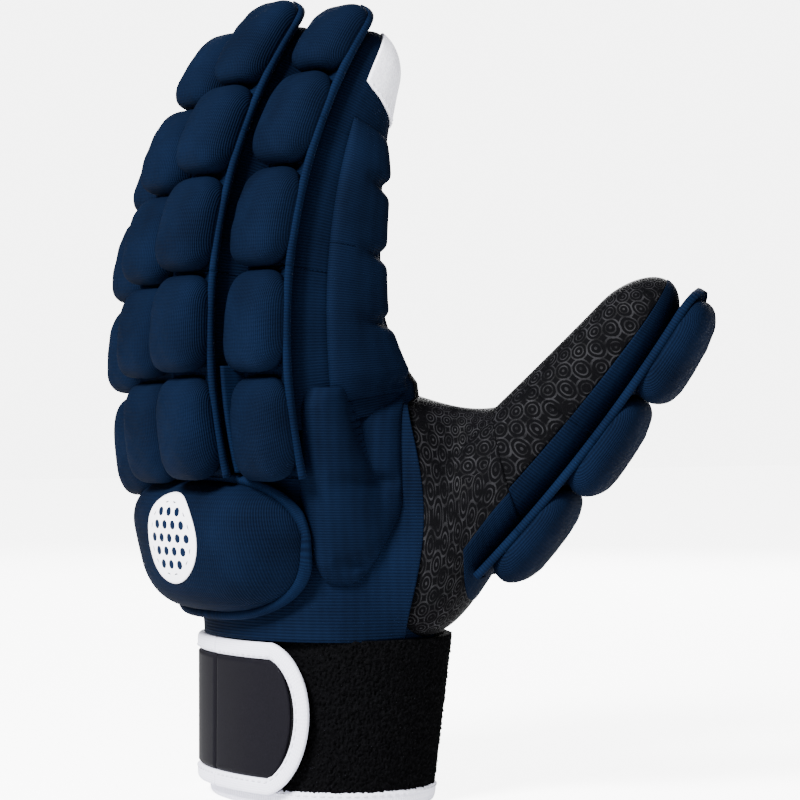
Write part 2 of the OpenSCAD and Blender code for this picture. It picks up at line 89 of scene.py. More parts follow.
world = bpy.data.worlds.new("studio")
world.use_nodes = True
world_glow = world.node_tree.nodes["Background"]
world_glow.inputs["Color"].default_value = (1, 1, 1, 1)
seen_directly = world.node_tree.nodes.new("ShaderNodeLightPath")
world_strength = world.node_tree.nodes.new("ShaderNodeMapRange")
world_strength.inputs["To Min"].default_value = 0.36
world_strength.inputs["To Max"].default_value = 6.0
world.node_tree.links.new(seen_directly.outputs["Is Camera Ray"], world_strength.inputs["Value"])
world.node_tree.links.new(world_strength.outputs["Result"], world_glow.inputs["Strength"])
bpy.context.scene.world = world


def soft_light(name, place, size, power):
    """A square area light at a place in millimetres, facing the middle of the glove."""
    data = bpy.data.lights.new(name, "AREA")
    data.energy = power
    data.size = size * MM
    light = bpy.data.objects.new(name, data)
    light.location = np.array(place) * MM
    aim = Vector((0, 0, 0.12)) - light.location
    light.rotation_mode = "QUATERNION"
    light.rotation_quaternion = aim.to_track_quat("-Z", "Y")
    bpy.context.scene.collection.objects.link(light)


soft_light("key_light", (-1000, -330, 950), 380, 92)
soft_light("fill_light", (700, -900, 500), 700, 6)
soft_light("back_light", (800, 800, 650), 700, 24)

# ---- Finger sleeves ----
# Each finger is a stretch-knit sleeve with a synthetic suede panel on the palm side.
# The sleeves are sewn into the hand over the knuckles of the hand inside; here each piece stays fixed and does not
# bend.


def digit(name, root, lean, curve, links, root_depth, tip_depth, half_width, bodies):
    """The facts of one finger or thumb, in millimetres and degrees."""
    return dict(
        name=name, root=root, lean=lean, curve=curve, links=links, root_depth=root_depth,
        tip_depth=tip_depth, half_width=half_width, bodies=bodies, reach=sum(links),
    )


def finger(name, root, links, root_depth, tip_depth, half_width):
    """A finger's facts: all four lean and curve alike, and ride three bodies past the hand."""
    bodies = ["hand", f"{name}_proximal", f"{name}_middle", f"{name}_distal"]
    return digit(name, root, -4, 0.36, links, root_depth, tip_depth, half_width, bodies)


index = finger("index", (-38, -31.25, 131), (60, 30, 23), 19.5, 8.5, 10.6)
middle = finger("middle", (-49.5, -7.75, 131), (58, 29, 30), 17, 8.5, 10.6)
ring = finger("ring", (-47.5, 15.75, 129.5), (55, 28, 27), 16, 8.5, 10.6)
pinky = finger("pinky", (-39, 38.08, 125), (27, 28, 24), 13.5, 8, 9.6)
fingers = [index, middle, ring, pinky]
thumb = digit(
    "thumb", (55, -12, 71), -44, 0.12, (37, 34, 33), 16.5, 9.5, 15,
    ["hand", "thumb_base", "thumb_middle", "thumb_tip"],
)
thumb_turn = math.radians(-50)


def joint_at(f, k):
    """Distance of joint k along a digit's back, from its root."""
    return sum(f["links"][:k])


def half_depth(f, s):
    """Half the depth of a sleeve: falls from root to tip with the 1.6th power of the way along."""
    way = np.clip(s / f["reach"], 0, 1)
    return f["root_depth"] + (f["tip_depth"] - f["root_depth"]) * way**1.6


def half_width(f, s):
    """Half the width of a sleeve: 8% less at the tip than at the root."""
    return f["half_width"] * (1 - 0.08 * np.clip(s / f["reach"], 0, 1))


def place(f, s, across, depth):
    """A point by its distance s along the digit's back arc, its place across the digit and
    its depth below the back: the arc's own point plus depth along the arc's inward normal."""
    s, across, depth = np.broadcast_arrays(*[np.asarray(v, float) for v in (s, across, depth)])
    radius = 180 / math.pi / f["curve"]
    start = math.radians(f["lean"])
    angle = np.radians(f["lean"] + f["curve"] * s)
    x = radius * (math.cos(start) - np.cos(angle)) + depth * np.cos(angle)
    z = radius * (np.sin(angle) - math.sin(start)) - depth * np.sin(angle)
    root = f["root"]
    if f is not thumb:
        return np.stack([x + root[0], across + root[1], z + root[2]], -1)
    out, side = root[0] - x, root[1] - across
    turn_cos, turn_sin = math.cos(thumb_turn), math.sin(thumb_turn)
    return np.stack([out * turn_cos - side * turn_sin, out * turn_sin + side * turn_cos, z + root[2]], -1)


def oval(power, angle):
    """A point of a squared ellipse of half size one: cosine and sine to the power 2 / power."""
    c, s = np.cos(angle), np.sin(angle)
    return np.sign(c) * np.abs(c) ** (2 / power), np.sign(s) * np.abs(s) ** (2 / power)


def paired(a, b):
    """Two grids, stretched to each other's size, as one grid of pairs."""
    return np.stack(np.broadcast_arrays(a, b), -1)


def surface(name, points, uv, closed=False, wrap=False):
    """A smooth mesh through rows of points in millimetres, a quad between each four neighbours.
    A closed shape gets its poles merged; an open sheet is turned to face away from its middle."""
    rows, cols = points.shape[:2]
    order = np.arange(rows * cols).reshape(rows, cols)
    if wrap:
        order = np.concatenate([order, order[:, :1]], axis=1)
    quads = np.stack([order[:-1, :-1], order[:-1, 1:], order[1:, 1:], order[1:, :-1]], -1).reshape(-1, 4)
    mesh = bpy.data.meshes.new(name)
    mesh.from_pydata((points.reshape(-1, 3) * MM).tolist(), [], quads.tolist())
    corners = np.empty(len(mesh.loops), np.int32)
    mesh.loops.foreach_get("vertex_index", corners)
    mesh.uv_layers.new(name="UVMap").data.foreach_set("uv", (uv.reshape(-1, 2) * MM)[corners].ravel())
    shape = bmesh.new()
    shape.from_mesh(mesh)
    bmesh.ops.remove_doubles(shape, verts=shape.verts, dist=1e-6)
    bmesh.ops.dissolve_degenerate(shape, edges=shape.edges, dist=1e-7)
    bmesh.ops.recalc_face_normals(shape, faces=shape.faces)
    shape.to_mesh(mesh)
    shape.free()
    if not closed:
        count = len(mesh.polygons)
        centres, normals = np.empty(count * 3), np.empty(count * 3)
        mesh.polygons.foreach_get("center", centres)
        mesh.polygons.foreach_get("normal", normals)
        centres, normals = centres.reshape(-1, 3), normals.reshape(-1, 3)
        if ((centres - centres.mean(0)) * normals).sum() < 0:
            mesh.flip_normals()
    mesh.shade_smooth()
    piece = bpy.data.objects.new(name, mesh)
    bpy.context.scene.collection.objects.link(piece)
    return piece


def capped(name, points, uv):
    """A closed bar through rings of points: each end ring is drawn in to its own middle."""
    low_cap, high_cap = [np.repeat(ring.mean(0)[None, None], len(ring), 1) for ring in (points[0], points[-1])]
    points = np.concatenate([low_cap, points, high_cap])
    return surface(name, points, np.concatenate([uv[:1], uv, uv[-1:]]), closed=True, wrap=True)


def two_faced(name, outer, inner, uv):
    """A closed slab between an outer and an inner face that share one UV grid."""
    return capped(name, np.concatenate([outer, inner[:, ::-1]], 1), np.concatenate([uv, uv[:, ::-1]], 1))


def thicken(piece, thickness):
    """Gives an open sheet its real thickness, inwards from the face that shows."""
    wall = piece.modifiers.new("wall", "SOLIDIFY")
    wall.thickness = thickness * MM
    wall.offset = -1


def finished(piece, material):
    """The piece with its material."""
    piece.data.materials.append(material)
    return piece


def add_node(tree, kind, values=None, **settings):
    """One shader node: settings are its own properties, values its sockets by name or number."""
    made = tree.nodes.new(kind)
    for key, value in settings.items():
        setattr(made, key, value)
    for key, value in (values or {}).items():
        if isinstance(value, bpy.types.NodeSocket):
            tree.links.new(value, made.inputs[key])
        else:
            made.inputs[key].default_value = value
    return made


def settle(piece, material, slot, body, *nodes):
    """A finished piece that rides its body, in place of its plain nodes."""
    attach(finished(piece, material), body)
    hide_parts(*nodes)


def math_node(tree, operation, a, b=0.0):
    """The result of one arithmetic node."""
    return add_node(tree, "ShaderNodeMath", {0: a, 1: b}, operation=operation).outputs[0]


def waves(tree, coordinate, pitch):
    """A row of soft ridges, one each pitch millimetres: half of one plus the sine."""
    turns = math_node(tree, "MULTIPLY", coordinate, 2 * math.pi / (pitch * MM))
    return math_node(tree, "MULTIPLY_ADD", math_node(tree, "SINE", turns), 0.5)


def finish_with(name, sheen_colour, roughness, sheen):
    """A fabric's shader with its own sockets set; the pattern is linked by the caller."""
    material = bpy.data.materials.new(name)
    material.use_nodes = True
    shader = material.node_tree.nodes["Principled BSDF"]
    shader.inputs["Roughness"].default_value = roughness
    shader.inputs["Specular IOR Level"].default_value = 0.02
    shader.inputs["Sheen Weight"].default_value = sheen
    shader.inputs["Sheen Roughness"].default_value = 0.45
    shader.inputs["Sheen Tint"].default_value = (*sheen_colour, 1)
    return material, material.node_tree, shader


def tint(tree, shader, factor, low, high):
    """Base colour that runs from low to high with the factor."""
    colours = add_node(tree, "ShaderNodeMix", {"Factor": factor}, data_type="RGBA", clamp_factor=True)
    colours.inputs[6].default_value = (*low, 1)
    colours.inputs[7].default_value = (*high, 1)
    tree.links.new(colours.outputs[2], shader.inputs["Base Color"])


def emboss(tree, shader, height, depth):
    """Relief that raises the surface by the height, up to the depth in millimetres."""
    bump = add_node(tree, "ShaderNodeBump", {"Height": height, "Distance": depth * MM})
    tree.links.new(bump.outputs[0], shader.inputs["Normal"])


def on_piece(tree, coordinate):
    """A texture coordinate of the piece itself: Object or UV."""
    return add_node(tree, "ShaderNodeTexCoord").outputs[coordinate]


def speckle(tree, where, scale, detail):
    """Fine noise over the surface."""
    return add_node(tree, "ShaderNodeTexNoise", {"Vector": where, "Scale": scale, "Detail": detail}).outputs[0]


def vector_node(tree, operation, **values):
    """One vector node; its sockets are given by number as v0, v1 and v2."""
    return add_node(tree, "ShaderNodeVectorMath", {int(key[1]): v for key, v in values.items()}, operation=operation)


def from_cell_middle(tree, uv, cells, shift, flatten):
    """Distance from the middle of the nearest cell of a grid: the fraction of the cell's
    place less a half, stretched, and its length."""
    cell = vector_node(tree, "MULTIPLY_ADD", v0=uv, v1=cells, v2=shift)
    inside = vector_node(tree, "FRACTION", v0=cell.outputs[0])
    offset = vector_node(tree, "SUBTRACT", v0=inside.outputs[0], v1=(0.5, 0.5, 0))
    flat = vector_node(tree, "MULTIPLY", v0=offset.outputs[0], v1=flatten)
    return vector_node(tree, "LENGTH", v0=flat.outputs[0]).outputs["Value"]


def knit(name, colour_low, colour_high, ribs, courses, rib_share, depth):
    """Ribbed knit. Height is the ribs across U and the courses along V, in the given shares,
    plus fibre noise; colour runs from low to high with the height, as painted shade that darkens
    the grooves between the ribs, and with a slow noise of random tone."""
    material, tree, shader = finish_with(name, colour_high, 0.82, 0.012)
    place_uv = add_node(tree, "ShaderNodeSeparateXYZ", {0: on_piece(tree, "UV")})
    across = waves(tree, place_uv.outputs[0], ribs)
    along = waves(tree, place_uv.outputs[1], courses)
    where = on_piece(tree, "Object")
    slow, fibre = speckle(tree, where, 55.0, 3.0), speckle(tree, where, 2200.0, 2.0)
    rib_lump = math_node(tree, "MULTIPLY", across, rib_share)
    lump = math_node(tree, "ADD", rib_lump, math_node(tree, "MULTIPLY", along, 1 - rib_share))
    height = math_node(tree, "MULTIPLY_ADD", fibre, 0.35)
    tree.links.new(lump, height.node.inputs[2])
    # Painted shade: the rib and course height darkens the grooves, and the slow noise adds random tone.
    shade = math_node(tree, "MULTIPLY_ADD", slow, 0.9)
    tree.links.new(math_node(tree, "MULTIPLY", lump, 0.55), shade.node.inputs[2])
    tint(tree, shader, math_node(tree, "SUBTRACT", shade, 0.2), colour_low, colour_high)
    emboss(tree, shader, height, depth)
    return material


def grip_print(name, pitch, ink):
    """Black suede under a silicone print: rings and dots in two grids set half a pitch apart,
    each ring a narrow band of the distance from the middle of its cell."""
    material, tree, shader = finish_with(name, (0.02, 0.02, 0.022), 0.7, 0.008)
    uv = on_piece(tree, "UV")
    masks = []
    for shift in (0.0, 0.5):
        away = from_cell_middle(tree, uv, (1 / (pitch * MM),) * 3, (shift,) * 3, (1, 1, 0))
        for radius, half_line in ((0.36, 0.032), (0.20, 0.026), (0.0, 0.06)):
            near = math_node(tree, "ABSOLUTE", math_node(tree, "SUBTRACT", away, radius))
            masks.append(math_node(tree, "LESS_THAN", near, half_line))
    printed = masks[0]
    for mask in masks[1:]:
        printed = math_node(tree, "MAXIMUM", printed, mask)
    where = on_piece(tree, "Object")
    worn, nap = speckle(tree, where, 320.0, 4.0), speckle(tree, where, 2600.0, 3.0)
    patches = math_node(tree, "MULTIPLY", math_node(tree, "SUBTRACT", worn, 0.38), 4.0)
    tint(tree, shader, math_node(tree, "MULTIPLY", printed, patches), (0.0012, 0.0012, 0.0016), ink)
    gloss = math_node(tree, "SUBTRACT", 0.8, math_node(tree, "MULTIPLY", printed, 0.35))
    tree.links.new(gloss, shader.inputs["Roughness"])
    height = math_node(tree, "MULTIPLY_ADD", nap, 0.3)
    tree.links.new(printed, height.node.inputs[2])
    emboss(tree, shader, height, 0.12)
    return material


# navy_low is the knits' colour in their painted groove shade and darkest random tone; navy_high and navy_flat are the
# rib tops.
navy_low, navy_high, navy_flat = (0.0003, 0.0009, 0.0032), (0.0015, 0.0052, 0.0165), (0.0015, 0.0050, 0.0158)
sleeve_knit = knit("sleeve_knit", navy_low, navy_flat, 3.1, 0.95, 0.15, 0.10)
palm_suede = grip_print("palm_suede", 7.6, (0.012, 0.012, 0.0135))
sleeve_power = 2.4
# The index finger's root widens into the web towards the thumb.
root_flare = {"index": 0.42}


def sleeve_point(f, s, angle, out):
    """A squared ellipse round the digit; angle is measured from the back of the digit."""
    c, w = oval(sleeve_power, angle)
    spread = 1 + root_flare.get(f["name"], 0) * np.clip((24 - s) / 28, 0, 1.2) ** 1.6
    c = np.where(c < 0, c * spread, c)
    return place(f, s, (half_width(f, s) + out) * w, half_depth(f, s) - (half_depth(f, s) + out) * c)


def dome_height(f):
    """How much of a digit's length its rounded end takes up."""
    return 1.15 * half_width(f, f["reach"])


def dome_point(f, rise, angle, out):
    """The rounded end of a digit: rise degrees up a dome whose foot is a dome's length short
    of the tip, the ellipse closing with the cosine of the rise."""
    dome = dome_height(f)
    s = f["reach"] - dome + (dome + out) * np.sin(rise)
    c, w = oval(sleeve_power, angle)
    narrow = np.cos(rise)
    return place(f, s, (half_width(f, s) + out) * narrow * w, half_depth(f, s) - (half_depth(f, s) + out) * narrow * c)


def sleeve_sheet(name, f, low, high, first, last, out=0.0, tip=False):
    """A sleeve between two angles and two distances along; a tip is closed by its dome.
    UV is the arc across and the distance along."""
    steps = max(12, int((high - low) / 1.2))
    angle = np.linspace(first, last, 60)[None, :]
    if tip:
        dome = dome_height(f)
        straight = np.linspace(low, f["reach"] - dome, steps)[:, None]
        rise = np.linspace(0, math.pi / 2, 24)[1:, None]
        points = np.concatenate([sleeve_point(f, straight, angle, out), dome_point(f, rise, angle, out)])
        v = np.concatenate([straight, f["reach"] - dome + dome * 1.3 * rise])
    else:
        v = np.linspace(low, high, steps)[:, None]
        points = sleeve_point(f, v, angle, out)
    size = (half_depth(f, np.minimum(v, f["reach"])) + f["half_width"]) / 2
    uv = paired(angle * size, v)
    return surface(name, points, uv)


def bend_at(piece):
    """Bakes the piece's placement into its mesh; the piece does not bend."""
    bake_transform(piece)


def cuts(f, first):
    """Where the parts of a digit's skin meet: half way between its joints."""
    return [first, joint_at(f, 1) / 2, joint_at(f, 1) + f["links"][1] / 2, f["reach"]]


palm_side, guarded_side = math.radians(128), math.radians(148)
sleeve_start, sleeve_lap, skin_wall = -18, 1, 1.4
for f in fingers:
    ends = cuts(f, sleeve_start)
    near = guarded_side if f is index else palm_side
    for k in range(3):
        tip, name = k == 2, f["name"]
        high = ends[k + 1] + (0 if tip else sleeve_lap)
        back = sleeve_sheet(f"{name}_sleeve_cover_{k + 1}", f, ends[k], high, -near, palm_side, tip=tip)
        palm = sleeve_sheet(f"{name}_palm_panel_{k + 1}", f, ends[k], high, palm_side, 2 * math.pi - near, 0.25, tip)
        for piece in (back, palm):
            thicken(piece, skin_wall)
            bend_at(piece)
        finished(back, sleeve_knit)
        finished(palm, palm_suede)
        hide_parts(f"{name}_sleeve_{k + 1}")

# ---- Foam blocks ----
# Blocks of closed-cell foam, moulded into a row on each finger and covered with ribbed
# knit. They stand on a strip with a rounded edge, and overhang the groove below them.

block_knit = knit("block_knit", navy_low, navy_high, 0.85, 1.3, 0.75, 0.16)
strip_knit = knit("strip_knit", (0.0004, 0.0015, 0.0055), (0.0018, 0.0064, 0.0205), 2.2, 0.9, 0.2, 0.06)
strip_margin = 1.0
bead_width = 2.0
strip_round = 9
block_height = 13


def edge_strip(name, f, low, high, round_end=False):
    """A strip along the digit's back: a flat band with a half-round bead at each edge.
    The section runs up one side, over both beads and back underneath."""
    t = np.linspace(0, math.pi, 11)
    bead_y = 1 - (1 - np.cos(t)) / 2
    bead_h = 0.45 + 0.55 * np.sin(t)
    top_y = np.concatenate([bead_y, [0], -bead_y[::-1]])
    top_h = np.concatenate([bead_h, [0.35], bead_h[::-1]])
    steps = max(10, int((high - low) / 1.5))
    s = np.linspace(low, high, steps)[:, None]
    wide = half_width(f, s) + strip_margin
    if round_end:
        left_over = np.clip((high - s) / strip_round, 0.02, 1)
        wide = wide * np.sqrt(left_over * (2 - left_over))
    # the bead keeps its width; only the flat band between the beads changes
    side = np.sign(top_y)
    y = side * wide - side * (1 - np.abs(top_y)) * bead_width
    under = np.broadcast_to(wide * 0.97, (len(s), 1))
    section_y = np.concatenate([y, -under, under], 1)
    section_h = np.concatenate([0.2 + 2.3 * top_h, [0.05, 0.05]])
    return capped(name, place(f, s, section_y, -section_h), paired(section_y, s))


def foam_block(name, f, low, high, height=block_height, lean_back=2.6):
    """A foam block between two distances along: rings of a squared ellipse that stand in at
    the neck, swell, and close over the top. The swelling leans to the lower end and the top
    slopes down to the upper end, so each block overhangs the groove below it."""
    around = np.linspace(0, 2 * math.pi, 97)[:-1][None, :]
    middle, half_l = (low + high) / 2, (high - low) / 2 - 0.25
    half_w = half_width(f, middle) + strip_margin - bead_width + 1.8
    up = np.linspace(0, 1, 40)[:, None]
    rise = np.clip(up / 0.2, 0, 1)
    neck = 0.90 + 0.10 * np.sin(rise * math.pi / 2)
    over = np.clip((up - 0.2) / 0.8, 0, 1) * math.pi / 2
    ring = neck * np.cos(over) ** 0.60
    level = 0.36 * rise + 0.64 * np.sin(over) ** 0.8
    ox, oy = oval(4.2, around)
    x, y = ring * ox, ring * oy
    slope = 1 - 0.16 * np.clip(0.5 + 0.5 * x, 0, 1) ** 1.5 - 0.05 * np.abs(y) ** 3
    h = 0.9 + (height - 0.9) * level * slope
    s = middle + half_l * x - lean_back * level**1.3 * (0.45 + 0.55 * np.clip(0.5 + x, 0, 1)) * (1 - 0.3 * x * x)
    soft = 0.12 * np.sin(s * 0.9 + f["root"][1]) * np.sin(half_w * y * 0.8 + low)
    points = place(f, s, half_w * y, -h - soft * level)
    base = place(f, middle + 0 * around, 0 * around, -0.9)
    points = np.concatenate([base, points])
    # ribs are spaced along the cloth, so U also grows by how far it has dropped at the side
    over_side = half_w * y + np.sign(oy) * np.abs(oy) ** 3 * (height - h)
    over_end = half_l * x + np.sign(ox) * np.abs(ox) ** 3 * (height - h)
    uv = paired(over_side, middle + over_end)
    uv = np.concatenate([uv[:1], uv])
    return surface(name, points, uv, closed=True, wrap=True)


def block_rows(f):
    """The lower and upper end of each block from the knuckle to the tip, with its body."""
    one, two = joint_at(f, 1), joint_at(f, 2)
    _, proximal, middle_bone, tip = f["bodies"]
    first = [(0, one / 2), (one / 2, one)] if one > 40 else [(0, one)]
    return [(*row, proximal) for row in first] + [(one, two, middle_bone), (two, f["reach"] + 1, tip)]


def add_block(name, f, low, high, height, body, node):
    """A foam block on its body, in place of its plain node."""
    block = foam_block(name, f, low, high, height)
    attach(block, body)
    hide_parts(node)
    finished(block, block_knit)


def add_strip(f, k, low, high):
    """The edge strip of part k of a digit; it stays fixed and does not bend."""
    strip = edge_strip(f"{f['name']}_edge_strip_{k + 1}", f, low, high, round_end=k == 2)
    bend_at(strip)
    finished(strip, strip_knit)


row_start, strip_overhang, strip_lap = -31, 3, 0.5
tip_block_drop, knuckle_gap = 1.5, 0.4
for f in fingers:
    ends = cuts(f, row_start - 0.5)
    ends[3] = f["reach"] + strip_overhang
    for k in range(3):
        add_strip(f, k, ends[k], ends[k + 1] + (strip_lap if k < 2 else 0))
    name = f["name"]
    add_block(f"{name}_knuckle_block", f, row_start, -knuckle_gap, block_height, "hand", f"{name}_knuckle_pad")
    rows = block_rows(f)
    for row, (low, high, body) in enumerate(rows, start=1):
        tall = block_height - (tip_block_drop if row == len(rows) else 0)
        add_block(f"{name}_foam_block_{row}", f, low, high, tall, body, f"{name}_pad_{row}")

# ---- Webs between the knuckles ----
# Stretch knit joins each finger's strip to the next over the knuckles, drawn in between
# them, and a bar of thread closes each web at its top.

web_depth, web_sag, web_wall, web_tuck = 1.6, 4.5, 1.2, 1
knot_size, knot_place = 2.0, 2.0


def web_sheet(name, left, right):
    """A sheet between the edges of two neighbouring strips that sags by a sine across."""
    s = np.linspace(row_start, 1.5, 40)[:, None, None]
    a = np.linspace(0, 1, 24)[None, :, None]
    from_edge = place(left, s[..., 0], half_width(left, 0) + strip_margin - web_tuck, web_depth)
    to_edge = place(right, s[..., 0], -half_width(right, 0) - strip_margin + web_tuck, web_depth)
    points = from_edge + (to_edge - from_edge) * a + np.array([web_sag, 0, 0]) * np.sin(a * math.pi)
    uv = np.concatenate(np.broadcast_arrays(a * 14, s), -1)
    return surface(name, points, uv)


def thread_knot(name, where, size):
    """A bar of thread: a rounded bar whose surface is wound in ridges."""
    around = np.linspace(0, 2 * math.pi, 33)[:-1][None, :]
    up = np.linspace(0, math.pi, 25)[:, None]
    radius = size * (0.9 + 0.12 * np.sin(around * 5)) * np.sin(up) ** 0.7
    x, y = radius * np.cos(around) * 0.7, radius * np.sin(around) * 1.5
    x, y, z = np.broadcast_arrays(x, y, -size * np.cos(up) * 0.9)
    uv = paired(around * size, up * size)
    return surface(name, np.stack([x, y, z], -1) + where, uv, closed=True, wrap=True)


for left, right in zip(fingers, fingers[1:]):
    web_name = f"{left['name']}_{right['name']}_web"
    web = web_sheet(web_name, left, right)
    thicken(web, web_wall)
    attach(finished(web, strip_knit), "hand")
    left_edge = place(left, knot_place, half_width(left, 0) + 1, -0.5)
    right_edge = place(right, knot_place, -half_width(right, 0) - 1, -0.5)
    meet = (left_edge + right_edge) / 2
    knot = thread_knot(f"{web_name}_knot", meet + np.array([0.6, 0, 0]), knot_size)
    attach(finished(knot, strip_knit), "hand")

# ---- Index finger's side guard ----
# Thin foam under the knit along the thumb side of the index finger. Scallops are pressed
# into its palm edge so that it folds where the finger bends.

guard_knit = knit("guard_knit", navy_low, navy_flat, 0.8, 3.0, 0.8, 0.08)
scallop_pitch = 24.2
scallop_start = 15.6
guard_back, guard_palm = math.radians(-75), math.radians(-133)
guard_thick, guard_reach = 5.4, 81


def scallop(s):
    """One at each notch between two scallops, falling to nothing away from it."""
    phase = (s - scallop_start) / scallop_pitch
    return np.exp(-(((phase - np.round(phase)) * scallop_pitch / 2.6) ** 2))


def pillow(a):
    """A raised band's section: 0 at both edges, nearly level between them."""
    return np.clip(1 - np.abs(2 * a - 1) ** 3.5, 0, 1) ** 0.6


def side_guard(name, low, high, low_round, high_round):
    """The guard between two distances: a band from the back edge to the palm edge, thick
    where the pillow section is high, pressed thin at the notches towards the palm edge."""
    s = np.linspace(low, high, 64)[:, None]
    a = np.linspace(0, 1, 40)[None, :]
    angle = guard_back + (guard_palm - guard_back) * a
    low_end, high_end = np.clip((s - low + 0.1) / low_round, 0, 1), np.clip((high - s + 0.1) / high_round, 0, 1)
    press = 1 - 0.72 * scallop(s) * np.clip((a - 0.3) / 0.45, 0, 1)
    out = 0.3 + guard_thick * pillow(a) * press * (low_end**0.5 * high_end**0.5) * (0.55 + 0.45 * a)
    outer = sleeve_point(index, s, angle, out)
    inner = sleeve_point(index, s, angle, 0.1 + 0 * out)
    piece = two_faced(name, outer, inner, paired(s, angle * 15))
    finished(piece, guard_knit)
    return piece


guard_split = scallop_start + scallop_pitch
guard_low = side_guard("index_side_guard_1", scallop_start - scallop_pitch - 3, guard_split + 0.5, 9, 0.02)
guard_high = side_guard("index_side_guard_2", guard_split, guard_reach, 0.02, 14)
for k, guard in enumerate((guard_low, guard_high)):
    bend_at(guard)
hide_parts("index_guard_1")
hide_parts("index_guard_2", "index_guard_3")

# ---- Index fingertip patch ----
# Smooth white synthetic leather glued and stitched over the palm side of the tip, where
# the finger holds the stick. Its lower edge is an arch.



def pebbles(tree, where, scale):
    """Distance to the middle of the nearest cell of an uneven pattern."""
    return add_node(tree, "ShaderNodeTexVoronoi", {"Vector": where, "Scale": scale}).outputs["Distance"]


patch_leather, patch_tree, patch_shader = finish_with("patch_leather", (0.9, 0.9, 0.95), 0.55, 0.0)
patch_grain = pebbles(patch_tree, on_piece(patch_tree, "Object"), 1500.0)
emboss(patch_tree, patch_shader, patch_grain, 0.05)
tint(patch_tree, patch_shader, patch_grain, (0.62, 0.62, 0.70), (0.86, 0.86, 0.93))

patch_low, patch_arch, patch_dome, patch_out = 87.5, 6, 13, 0.9
patch_spread = math.radians(104)
patch_rows = np.linspace(0, 1, 40)[:, None]
patch_across = np.linspace(-1, 1, 60)[None, :]
patch_foot = patch_low + patch_arch * patch_across**2
patch_reach = index["reach"] - dome_height(index)
patch_s = patch_foot + (patch_reach + patch_dome - patch_foot) * patch_rows
patch_rise = np.clip((patch_s - patch_reach) / patch_dome, 0, 1) * math.radians(84)
patch_angle = math.pi + patch_spread * patch_across
patch_points = np.where(
    (patch_s < patch_reach)[..., None],
    sleeve_point(index, patch_s, patch_angle, patch_out),
    dome_point(index, patch_rise, patch_angle, patch_out),
)
patch = surface("index_tip_patch_cover", patch_points, paired(patch_across * 15, patch_s))
thicken(patch, 0.8)
settle(patch, patch_leather, "white_patch", "index_distal", "index_tip_patch")

# ---- Hand ----
# The back of the hand is stretch knit, the palm synthetic suede with a silicone print.
# A knit side panel joins them on the thumb side and swells over the root of the thumb.

cuff_top, finger_root = 50.0, 131.0
hand_power = 2.1


def round_step(t):
    """A smooth step: 3 t squared less 2 t cubed, held between 0 and 1."""
    t = np.clip(t, 0, 1)
    return t * t * (3 - 2 * t)


def hand_sizes(z):
    """Middle across depth, half depth, half breadth and sideways shift of the hand at a height."""
    t = (z - cuff_top) / (finger_root - cuff_top)
    back = -(34 + 4 * round_step(t / 0.7))
    palm = 37 * (0.95 + 0.05 * round_step(t / 0.2)) - 42 * round_step((t - 0.1) / 0.9)
    return (palm + back) / 2, (palm - back) / 2, 40.5 + 6.35 * round_step(t / 0.5), 4 * round_step(t / 0.3)


def hand_point(angle, z, out):
    """A squared ellipse round the hand; angle runs from the palm, over the little finger's
    side, to the back."""
    middle_x, half_x, half_y, shift = hand_sizes(z)
    c, w = oval(hand_power, angle)
    x, y, z = np.broadcast_arrays(middle_x + (half_x + out) * c, shift + (half_y + out) * w, z)
    return np.stack([x, y, z], -1)


rim_drop = 7.0


def hand_sheet(name, first, last, low, high, out):
    """A part of the hand's skin between two angles in degrees and two heights; its rim sinks
    in under the fingers and drops towards the little finger."""
    angle = np.radians(np.linspace(first, last, 110))[None, :]
    level = np.linspace(0, 1, 60)[:, None]
    z = low + (high - rim_drop * round_step((np.sin(angle) + 0.2) / 1.1) - low) * level
    sink = 4.5 * round_step((level - 0.86) / 0.14)
    points = hand_point(angle, z, out - sink + 0 * angle)
    return surface(name, points, paired(angle * 38, z))


back_skin = hand_sheet("hand_back_cover", 94, 300, cuff_top + 0.4, finger_root + 1, 0.0)
thicken(back_skin, 1.8)
settle(back_skin, sleeve_knit, "navy_fabric", "hand", "hand_back_shell")

palm_skin = hand_sheet("palm_cover", -62, 95, cuff_top + 0.4, finger_root + 3, 0.3)
thicken(palm_skin, 1.6)
settle(palm_skin, palm_suede, "grip_palm", "hand", "palm_shell", "thumb_heel_panel", "thumb_web_panel")

# The thumb's own plane: w runs out from the hand, n towards the index finger's side.
plane_out = np.array([math.cos(thumb_turn), math.sin(thumb_turn), 0])
plane_side = np.array([math.sin(thumb_turn), -math.cos(thumb_turn), 0])
plane_middle = 12.0
seam_at = 38.0


def in_plane(w, z, n):
    """A point from its place out from the hand, its height and its place to the side."""
    w, z, n = np.broadcast_arrays(w, z, n)
    return w[..., None] * plane_out + n[..., None] * plane_side + z[..., None] * np.array([0, 0, 1.0])


def hand_side_level(w, z):
    """How far to the side the hand's own oval lies: the larger root of its quadratic in n."""
    middle_x, half_x, half_y, shift = hand_sizes(z)
    px, py = (w * plane_out[0] - middle_x) / half_x, (w * plane_out[1] - shift) / half_y
    qx, qy = plane_side[0] / half_x, plane_side[1] / half_y
    a, b, c = qx * qx + qy * qy, px * qx + py * qy, px * px + py * py - 1
    inside = b * b - a * c
    return np.where(inside > 0, (-b + np.sqrt(np.maximum(inside, 0))) / a, -50)


def root_level(w, z):
    """How far to the side the thumb's root swells: a squared ellipse over the height."""
    top = finger_root - 7 * np.clip((w - 4) / (seam_at - 4), 0, 1)
    v = (z - cuff_top + 1) / (top - cuff_top + 2)
    swell = 19 + 0.12 * (seam_at - w)
    return plane_middle + swell * np.clip(1 - np.abs(2 * v - 1) ** 3.0, 0, 1) ** (1 / 3.0)


